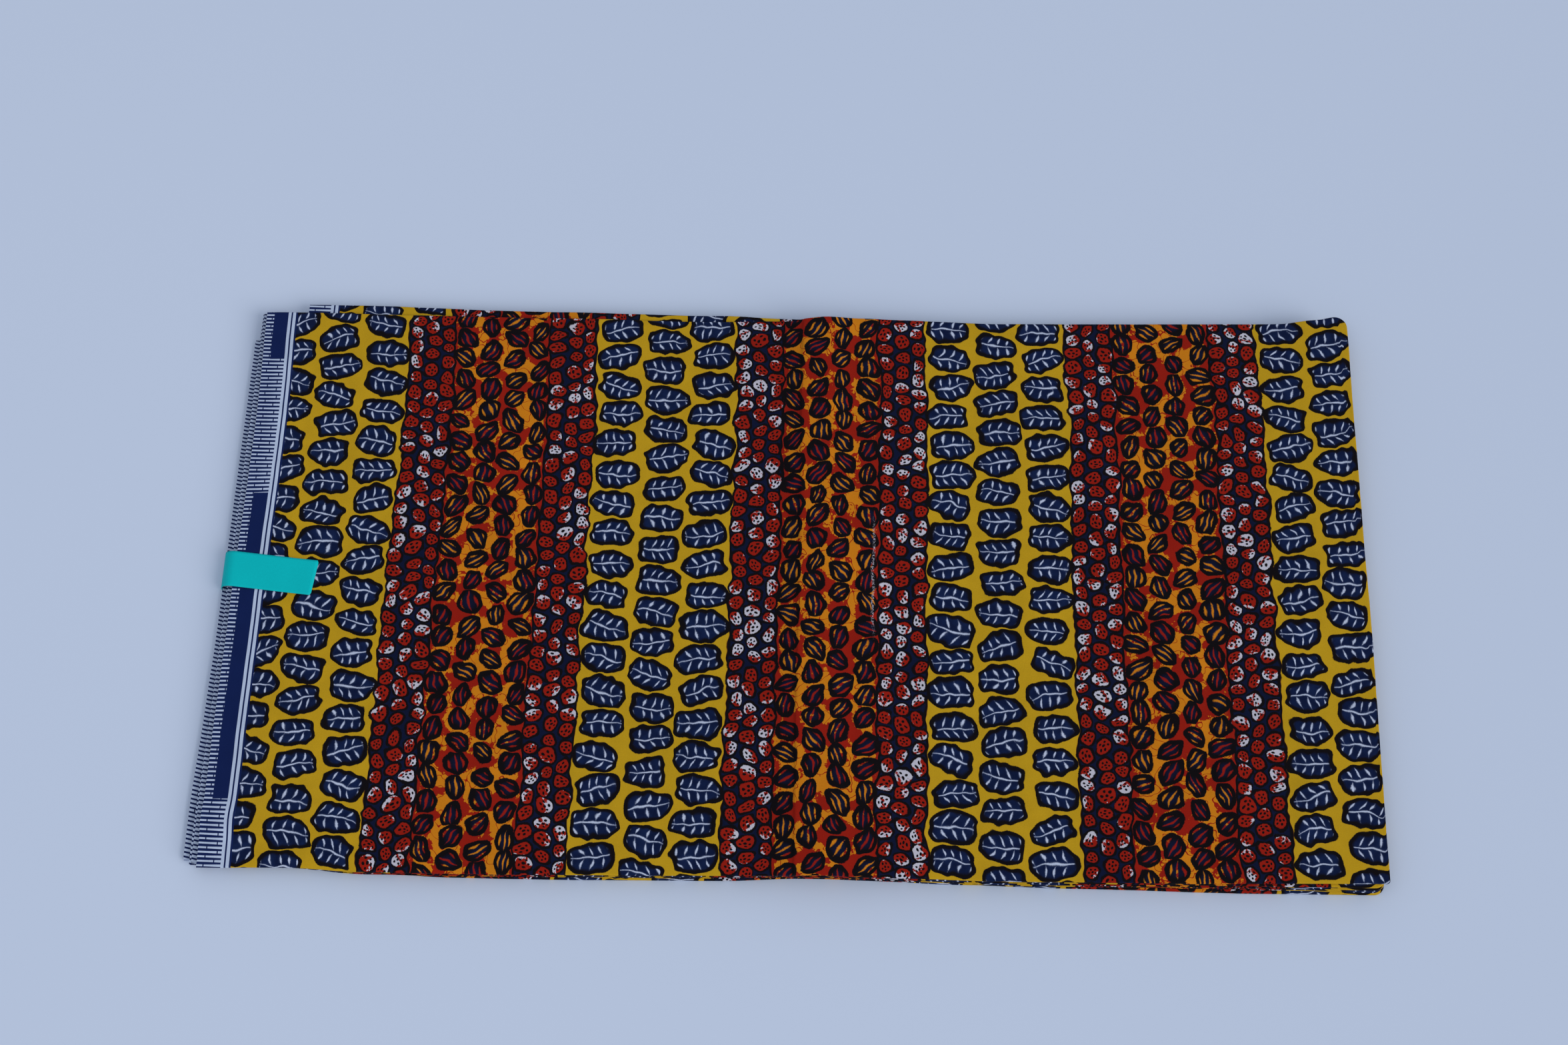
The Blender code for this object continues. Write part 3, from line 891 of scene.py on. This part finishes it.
def berry_motif(cell, rough_edge, ragged, whiter):
    """A round berry, part red and part white: its body, surround, red and dark dots."""
    side, front = cell.turned(cell.random[0] * (2 * math.pi))
    radius = length_of(side, front * (1.0 + cell.more[2] * BERRY_SQUEEZE))
    rim = BERRY_RADIUS * (SMALLEST + cell.random[2] * SIZE_RANGE)
    depth = rim - radius + rough_edge * BERRY_ROUGHNESS
    cut = (front + (cell.random[1] - RED_SHARE) * RED_SPREAD + ragged * RAGGED_CUT
           + (whiter - WHITER_SHARE) * WHITER_SPREAD)
    streak = (abs(side + cell.more[2].spread(STREAK_SPREAD)) - STREAK_HALF_WIDTH
              - ragged * RAGGED_STREAK)
    bearing = side.apply("ARCTAN2", front)
    dot_step = 2 * math.pi / DOT_COUNT
    near_dot = bearing - (bearing / dot_step).rounded() * dot_step
    dot_x = radius * near_dot.apply("COSINE") - DOT_RING
    dot_y = radius * near_dot.apply("SINE")
    dots = (length_of(dot_x, dot_y) - DOT_RADIUS).least(radius - CORE_RADIUS)
    return (depth.above(0.0, EDGE_SOFT), depth.ramp(*BERRY_SURROUND),
            cut.least(streak).below(0.0, RED_SOFT), dots.below(0.0, DOT_SOFT))


def seed_motif(cell, rough_edge):
    """A dark pointed seed with lengthwise strokes: its body, core, strokes and their rows."""
    side, front = cell.turned(cell.random[0].spread(SEED_SWING))
    size = SMALLEST + cell.random[1] * SIZE_RANGE
    arc_radius = (SEED_LENGTH ** 2 + SEED_WIDTH ** 2) / (4 * SEED_WIDTH)
    arc_offset = arc_radius - SEED_WIDTH / 2
    depth = (arc_radius * size - length_of(abs(side) + arc_offset * size, front)
             + rough_edge * SEED_ROUGHNESS)
    row = (side / STROKE_PITCH).rounded()
    off_stroke = abs(side - row * STROKE_PITCH)
    reach = (1.0 - abs(front) / STROKE_HALF_LENGTH).within(0.0, 1.0)
    width = (reach.apply("SQRT") * STROKE_HALF_WIDTH + rough_edge * STROKE_ROUGHNESS
             - STROKE_THINNER)
    strokes = (off_stroke - width).below(0.0, STROKE_SOFT) * depth.ramp(*STROKE_ROOM)
    return depth.above(0.0, EDGE_SOFT), depth.ramp(*SEED_CORE) * SEED_CORE_STRENGTH, strokes, row


def ground_colour(place, away, ragged):
    """The grounds of the print: yellow bands, and orange ones with red in them."""
    blotch = noise(place, *BLOTCH_NOISE) + ragged * RAGGED_BLOTCH
    line = abs(noise(place, *RED_LINE_NOISE) - 0.5) + ragged * RAGGED_LINE
    fringe = away - ORANGE_START + ragged * RAGGED_FRINGE
    red = blotch.ramp(*BLOTCH_RAMP).most(line.below(*RED_LINE))
    orange = blend(ORANGE, RED, red.most(fringe.below(RED_FRINGE, EDGE_SOFT)))
    return blend(orange, YELLOW, away.below(YELLOW_HALF, EDGE_SOFT))


def printed_colour(place, across, lengthwise):
    """Colour of the print at a place on the flat cloth, in mm."""
    drawn_u, drawn_v = across, lengthwise
    for size, reach in WANDERS:
        drift = noise(place, size, 0.0, output="Color").split()
        drawn_u = drawn_u + drift[0].spread(reach)
        drawn_v = drawn_v + drift[1].spread(reach)
    rough_edge = noise(place, *ROUGH_NOISE) - 0.5
    ragged = noise(place, *RAGGED_NOISE) - 0.5

    band_place = (drawn_u - FIRST_BAND) / BAND_PITCH
    band = band_place.rounded()
    from_yellow = (band_place - band) * BAND_PITCH
    from_orange = (band_place - (band_place - 0.5).rounded() - 0.5) * BAND_PITCH
    away = abs(from_yellow)
    side = from_yellow.apply("SIGN")
    colour = ground_colour(place, away, ragged)

    seeds = Cell(from_orange, drawn_v, SEED_REPEAT, band + SEEDS_SEED)
    body, core, strokes, stroke_row = seed_motif(seeds, rough_edge)
    redder = seeds.random[2] + stroke_row * STROKE_REDDER + ragged
    stroke_colour = blend(ORANGE, RED, redder.ramp(*STROKE_RED))
    colour = blend(colour, blend(blend(BLACK, NAVY, core), stroke_colour, strokes), body)

    leaves = Cell(from_yellow, drawn_v, LEAF_REPEAT, band)
    body, core, white, glow = leaf_motif(leaves, rough_edge)
    navy = blend(NAVY, NAVY_LIGHT, noise(place, *MOTTLE_NOISE).ramp(*MOTTLE_RAMP))
    leaf_colour = blend(blend(BLACK, navy, core), NAVY_GLOW, glow)
    colour = blend(colour, blend(leaf_colour, STROKE_WHITE, white), body)

    band_depth = (away - YELLOW_HALF).least(ORANGE_START - away)
    berries = Cell(away - (YELLOW_HALF + ORANGE_START) / 2, drawn_v, BERRY_REPEAT,
                   band * 2.0 + side)
    whiter = noise(place, *WHITER_NOISE)
    body, around, red, dots = berry_motif(berries, rough_edge, ragged, whiter)
    in_band = band_depth.above(0.0, EDGE_SOFT).most(around)
    gap_navy = band_depth.ramp(*GAP_ROOM) * (1.0 - around) * GAP_STRENGTH
    colour = blend(colour, blend(BLACK, NAVY, gap_navy), in_band)
    return blend(colour, blend(blend(WHITE, RED, red), BLACK, dots), body)


def selvedge_colour(across, lengthwise):
    """The selvedge: bars with ticks between them, plain stretches and edge lines, with the bars
    thinned on the leaves below the top one as painted light.
    """
    lean = noise(vector(across.tree, 0.0, lengthwise), *LEAN_NOISE) - LEAN_MIDDLE
    bars_place = lengthwise + across * lean * BAR_LEAN
    row = (bars_place / BAR_PITCH).rounded()
    # The bars thin towards their inner ends, which is print, and on the leaves below the top one,
    # which is painted light that pales selvedges lying in shade.
    taper_and_painted_light = (across.ramp(PLAIN_COLUMN, BARS_END) * INNER_THINNER
               + lengthwise.ramp(*BELOW_TOP_LEAF) * PAINTED_LIGHT_THINNING)
    off_bar = abs(bars_place - row * BAR_PITCH) + taper_and_painted_light
    in_bars = across.below(BARS_END, END_SOFT)
    bar = off_bar.below(BAR_WIDTH / 2, BAR_SOFT) * in_bars
    gap_row = (bars_place / BAR_PITCH - 0.5).rounded()
    jump = random_three(gap_row, *TICK_SEEDS)
    parity = abs(gap_row).apply("MODULO", 2.0)
    tick_place = TICK_FIRST + parity * TICK_STEP + jump[0].spread(TICK_STRAY)
    tick = abs(across - tick_place).below(TICK_WIDTH / 2, TICK_SOFT)
    tick = tick * across.below(BARS_END, TICK_SOFT)
    plain_place = (lengthwise + PLAIN_SHIFT).apply("FLOORED_MODULO", PLAIN_REPEAT)
    plain = plain_place.above(PLAIN_START, TICK_SOFT)
    plain = plain * (across.above(PLAIN_COLUMN, END_SOFT) * in_bars)
    edge_line = abs(across - EDGE_LINE).below(EDGE_LINE_WIDTH / 2, BAR_SOFT)
    border_line = across.above(BORDER_LINE, BAR_SOFT)
    dark = bar.most(tick).most(plain).most(edge_line).most(border_line)
    return blend(SELVEDGE_WHITE, SELVEDGE_NAVY, dark)


def worn_flecks(place, across, lengthwise):
    """Flecks where the top leaf was once creased and its colour has rubbed off."""
    wander = noise(place, *WORN_WANDER_NOISE).spread(WORN_WANDER)
    near_line = abs(across - WORN_LINE + wander).below(*WORN_EDGE)
    stretch = lengthwise.ramp(*WORN_START) * (1.0 - lengthwise.ramp(*WORN_END))
    return near_line * stretch * noise(place, *WORN_GRAIN_NOISE).ramp(*WORN_GRAIN)


def relief(height, strength, distance):
    """The fine relief that a field of heights gives a surface."""
    inputs = {"Height": height, "Strength": strength, "Distance": distance}
    return add_node(height.tree, "Bump", inputs)


def new_material(name):
    """Makes a material and returns it with its node tree and shader."""
    material = bpy.data.materials.new(name)
    material.use_nodes = True
    tree = material.node_tree
    return material, tree, tree.nodes["Principled BSDF"]


def cloth_material():
    """Wax-print cotton: the print, the selvedge, the weave and a faint sheen."""
    material, tree, shader = new_material("wax_print_cotton")
    cloth_place = add_node(tree, "Attribute", {}, "Vector", attribute_name=CLOTH_PLACE)
    across, lengthwise, _ = cloth_place.split()
    place = vector(tree, across, lengthwise)
    colour = blend(printed_colour(place, across, lengthwise),
                   selvedge_colour(across, lengthwise), across.below(SELVEDGE_WIDTH, BAR_SOFT))
    colour = blend(colour, WHITE, worn_flecks(place, across, lengthwise))
    tone = TONE_BASE
    for size, detail, strength in TONES:
        tone = noise(place, size, detail) * strength + tone
    weave = ((across * (math.pi / THREAD)).apply("SINE")
             * (lengthwise * (math.pi / THREAD)).apply("SINE"))
    height = weave * WEAVE_HEIGHT + noise(place, *SLUB_NOISE) * SLUB_HEIGHT
    lowest, span = CLOTH_ROUGHNESS
    fill(shader, {
        "Base Color": add_node(tree, "HueSaturation", {"Value": tone, "Color": colour}),
        "Roughness": noise(place, *GLOSS_NOISE) * span + lowest,
        "Normal": relief(height, *CLOTH_BUMP),
        **CLOTH_SHEEN,
    })
    return material


def paper_material():
    """Coated teal paper with faint fibres."""
    material, tree, shader = new_material("teal_label_paper")
    fibres = object_noise(tree, *FIBRE_NOISE)
    tone = (fibres + object_noise(tree, *PAPER_CLOUD_NOISE)) * 0.5
    lowest, span = PAPER_ROUGHNESS
    fill(shader, {
        "Base Color": blend(TEAL_DARK, TEAL, tone.ramp(*PAPER_TONES)),
        "Roughness": tone * span + lowest,
        "Normal": relief(fibres, *PAPER_BUMP),
        "Specular IOR Level": PAPER_SPECULAR,
    })
    return material


def plain_material(name, first, second, scale, roughness, specular):
    """A surface whose colour varies softly between two near ones."""
    material, tree, shader = new_material(name)
    fill(shader, {
        "Base Color": blend(first, second, object_noise(tree, scale)),
        "Roughness": roughness,
        "Specular IOR Level": specular,
    })
    return material


def soft_crease(x, y, row):
    """One listed trough or ridge, highest along its middle line."""
    start_x, start_y, end_x, end_y, width, rise = (value * MM for value in row)
    run_x, run_y = end_x - start_x, end_y - start_y
    length = math.hypot(run_x, run_y)
    lengthwise = ((x - start_x) * run_x + (y - start_y) * run_y) / length ** 2
    across = abs((y - start_y) * run_x - (x - start_x) * run_y) / length
    bend = CREASE_BEND * width * np.sin(lengthwise * CREASE_TURN + start_x * CREASE_START)
    side = ease(1 - abs(across - bend) / width)
    ends = ease(1 - abs(2 * lengthwise - 1) ** 2)
    return rise * side * ends


def crease_relief(x, y):
    """How the top leaf's upper ply differs from the even rise over the centre crease."""
    offset = x - CREASE_X
    far_share = ease(0.5 + y / LEAF_DEPTH)
    rise = along(FAR_RISE, offset) * far_share + along(NEAR_RISE, offset) * (1 - far_share)
    step = along(CREASE_STEP, offset - ripple(y, STEP_SEED, STEP_WANDER))
    return rise - along(CREASE_PROFILE, offset) + step


def bent_wave(place, sideways, waves, reach, bend_waves, bend_start):
    """A wave along one direction, whose crests bend along another."""
    return np.sin(place * waves + reach * np.sin(sideways * bend_waves + bend_start))


def top_relief(x, y):
    """Fine relief of the top leaf's upper ply."""
    height = crease_relief(x, y)
    for row in CREASES:
        height = height + soft_crease(x, y, row)
    crossed = bent_wave(x, y, *CROSSED_X) * bent_wave(y, x, *CROSSED_Y)
    slanting = bent_wave(x * SLANT_WAVES[0] + y * SLANT_WAVES[1], y, *SLANT)
    height = height + UNEVEN * (crossed + SLANT_SHARE * slanting)
    return height * ease((x + HALF_WIDTH) / (2 * MOUTH_LENGTH))


def level(function, drop):
    """A height function that lies a fixed distance below another."""
    return lambda x, y: function(x, y) - drop


def inner_part(share):
    """The height function at a share of the hidden layers' height."""
    return lambda x, y: inner_level(x, y, share)


def wide_rooms(count):
    """Rooms in the bake map for the two plies of each leaf, side by side."""
    rooms = []
    height = RIM_ROOM[0] / count
    for index in range(count):
        low, high = index * height + ROOM_GAP, (index + 1) * height - ROOM_GAP
        rooms += [(0.0, low, 0.5 - ROOM_GAP, high), (0.5 + ROOM_GAP, low, 1.0, high)]
    return rooms


def dressed(part, materials, node):
    """Gives a piece its materials, and has it ride in place of its solid."""
    part.data.materials.clear()
    for material in materials:
        part.data.materials.append(material)
    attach(part, "root")
    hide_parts(node)


def make_cloth(node, material, leaves, grid=None):
    """Makes one cloth piece of its leaves, in place of a node."""
    name = "cloth_" + node
    grid = grid or (coarse_lines(), COARSE_ROWS, wide_rooms(len(leaves)))
    mesh, owners = shell_mesh(name, leaves, *grid)
    part = thickened(name, mesh, owners, len(leaves))
    dressed(part, [material], node)


def make_top_leaf(material):
    """The leaf on top, with its fine relief."""
    leaf = Leaf(TOP_LEAF, level(top_side, LEAF_WALL), top_side, 0.0, seed=1.3, wave=0.12,
                mouth=0.5, relief=top_relief, near_corner=TOP_NEAR_CORNER)
    make_cloth("top_leaf", material, [leaf],
               grid=(fine_lines(), FINE_ROWS, TOP_LEAF_ROOMS))


def make_rear_leaf(material):
    """The leaf below the top one, that looks out behind it at the far left."""
    leaf = Leaf(REAR_LEAF, level(top_side, 2 * LEAF_WALL + PIECE_GAP),
                level(top_side, LEAF_WALL + PIECE_GAP), -LEAF_DEPTH / MM, seed=2.4,
                wave=0.15, mouth=0.5)
    make_cloth("rear_leaf", material, [leaf])


def make_inner_layers(material):
    """The hidden leaves, whose folds and selvedges show at the edges."""
    leaves = []
    for index, (low, high) in enumerate(zip(LAYER_SHARES, LAYER_SHARES[1:])):
        *outward, start = LAYER_EDGES[index]
        leaves.append(Leaf(INNER_LAYERS, inner_part(low + LAYER_GAP), inner_part(high), start,
                           outward, seed=3.1 + 1.7 * index, wave=0.3, mouth=0.85,
                           lean=SELVEDGE_LEAN))
    make_cloth("inner_layers", material, leaves)


def make_bottom_wrap(material):
    """The wrap round the bottom, with the leaves that it holds."""
    leaves = [Leaf(BOTTOM_WRAP, underside, level(underside, -WRAP_WALL), WRAP_START,
                   seed=5.2, wave=0.1, mouth=1.0, lean=SELVEDGE_LEAN)]
    for index, (low, high, left, start) in enumerate(WRAPPED_LEAVES):
        leaves.append(Leaf(BOTTOM_WRAP, level(underside, -low * WRAP_WALL),
                           level(underside, -high * WRAP_WALL), start,
                           (left, *[WRAPPED_OUTWARD] * 3), seed=6.3 + 1.3 * index,
                           wave=0.1, mouth=0.9))
    make_cloth("bottom_wrap", material, leaves)


def label_spots(fold_y, reach):
    """Places (x, z) along the label, from its low end at the floor to its end on the leaf."""
    edge_x = along(TOP_LEAF["left"], fold_y)
    low_x = along(BOTTOM_WRAP["left"], fold_y) - LABEL_GAP
    shoulder_z = top_side(edge_x, fold_y) + PIECE_GAP
    wrap_z = WRAP_WALL + PIECE_GAP
    spots = [(low_x, LABEL_CLEAR)]
    for index in range(LABEL_BEND_STEPS + 1):
        angle = math.pi / 2 * (1 - index / LABEL_BEND_STEPS)
        spots.append((edge_x + (low_x - edge_x) * math.sin(angle),
                      wrap_z + (shoulder_z - wrap_z) * math.cos(angle)))
    for index in range(1, LABEL_STEPS + 1):
        share = index / LABEL_STEPS
        x = edge_x + reach * share
        lift = LABEL_CURL * ease((share - LABEL_CURL_START) / (1 - LABEL_CURL_START))
        spots.append((x, top_side(x, fold_y) + PIECE_GAP + lift))
    return spots


def make_label(material, edge_material):
    """The paper label, laid on the top leaf and folded over the selvedges."""
    points = []
    for row in range(LABEL_ROWS + 1):
        offset = (row / LABEL_ROWS - 0.5) * LABEL_WIDTH
        fold_y = LABEL_Y + offset / math.cos(LABEL_TURN)
        from_side = LABEL_WIDTH / 2 - abs(offset)
        inward = max(0.0, 1 - from_side / LABEL_CORNER)
        shorter = LABEL_CORNER * (1 - math.sqrt(1 - inward * inward))
        reach = LABEL_REACH + offset * math.sin(LABEL_TURN) - shorter
        fold_x = float(along(TOP_LEAF["left"], fold_y))
        for x, z in label_spots(fold_y, reach):
            points.append((x + PACK_MOVE[0],
                           fold_y - (x - fold_x) * math.tan(LABEL_TURN) + PACK_MOVE[1], z))
    columns = len(points) // (LABEL_ROWS + 1)
    grid = np.arange(len(points)).reshape(LABEL_ROWS + 1, columns)
    mesh = bpy.data.meshes.new("paper_label")
    mesh.from_pydata(points, [], quads(grid).tolist())
    part = in_scene("paper_label", mesh)
    solid = part.modifiers.new("Paper", "SOLIDIFY")
    solid.thickness = LABEL_WALL
    solid.offset = 1
    solid.use_rim = True
    solid.material_offset_rim = 1
    mesh.shade_smooth()
    mesh.set_sharp_from_angle(angle=SHARP_ANGLE)
    dressed(part, [material, edge_material], "edge_label")


def make_floor(material):
    """A wide plain floor below the pack."""
    half = FLOOR_SIZE / 2
    mesh = bpy.data.meshes.new("floor")
    mesh.from_pydata([(-half, -half, 0), (half, -half, 0), (half, half, 0), (-half, half, 0)],
                     [], [(0, 1, 2, 3)])
    mesh.materials.append(material)
    floor = in_scene("floor", mesh)


def make_light(name, kind, place, energy, colour):
    """A light that shines from a place at the middle of the pack."""
    data = bpy.data.lights.new(name, kind)
    data.energy = energy
    data.color = colour
    light = in_scene(name, data)
    light.location = place
    light.rotation_euler = (-Vector(place)).to_track_quat("-Z", "Y").to_euler()
    return data


def make_lights():
    """A broad, distant key light from the right, and a soft square light overhead."""
    make_light(*KEY_LIGHT).angle = KEY_ANGLE
    make_light(*FILL_LIGHT).size = FILL_SIZE


def make_world():
    """Even soft light from all round."""
    world = bpy.data.worlds.new("soft_room")
    world.use_nodes = True
    fill(world.node_tree.nodes["Background"],
         {"Color": (*ROOM_COLOUR, 1), "Strength": ROOM_STRENGTH})
    bpy.context.scene.world = world


def make_camera():
    """The camera at the photograph's angle."""
    data = bpy.data.cameras.new("camera")
    data.lens = CAMERA_LENS
    data.sensor_width = CAMERA_SENSOR
    camera = in_scene("camera", data)
    camera.location = Vector(CAMERA_PLACE) + Vector((*PACK_MOVE, 0))
    camera.rotation_euler = Euler([math.radians(angle) for angle in CAMERA_TURN])
    bpy.context.scene.camera = camera


make_camera()
cloth = cloth_material()
make_bottom_wrap(cloth)
make_inner_layers(cloth)
make_rear_leaf(cloth)
make_top_leaf(cloth)
make_label(paper_material(), plain_material(*PAPER_EDGE_LOOK))
make_floor(plain_material(*FLOOR_LOOK))
make_world()
make_lights()
bpy.context.scene.view_settings.view_transform = "Standard"
